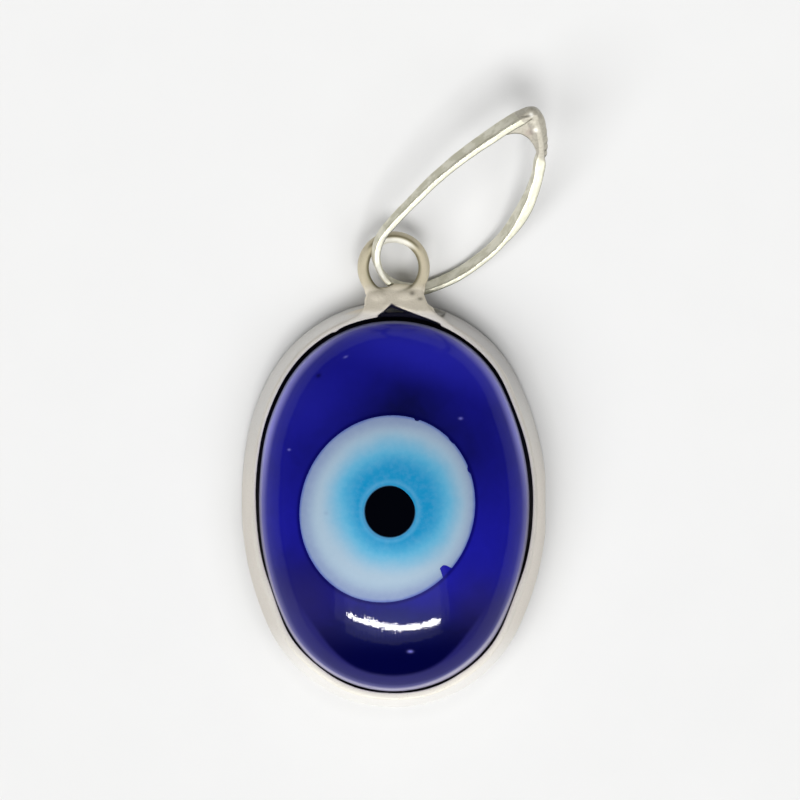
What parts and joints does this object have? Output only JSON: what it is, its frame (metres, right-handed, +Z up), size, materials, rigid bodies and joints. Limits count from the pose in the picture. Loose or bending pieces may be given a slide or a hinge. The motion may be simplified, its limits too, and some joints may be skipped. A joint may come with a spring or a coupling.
{
  "type": "pendant",
  "caption": "Oval evil eye pendant: a domed cobalt glass cabochon with a layered eye in a silver cup with a soldered wire eyelet, and a teardrop bail of flat strip, lying on its back.",
  "frame": {"origin": "middle of the underside of the back plate, under the middle of the glass", "axes": "+Z up through the dome, +Y along the glass towards the eyelet, +X to the right seen from above"},
  "size_m": [0.015, 0.0295, 0.0062],
  "materials": {
    "silver": "worn polished silver, warmer at the solder",
    "bail_silver": "polished silver strip with dull grey faces",
    "cobalt_glass": "glossy opaque cobalt glass",
    "white_glass": "glossy opaque pale blue-white glass",
    "blue_glass": "glossy opaque sky blue glass that fades to the white at its rim",
    "black_glass": "glossy black glass"
  },
  "bodies": {
    "root": {"setting": "silver", "cobalt_glass": "cobalt_glass", "white_disc": "white_glass", "iris_disc": "blue_glass", "pupil": "black_glass", "bail": "bail_silver"}
  },
  "joints": []
}
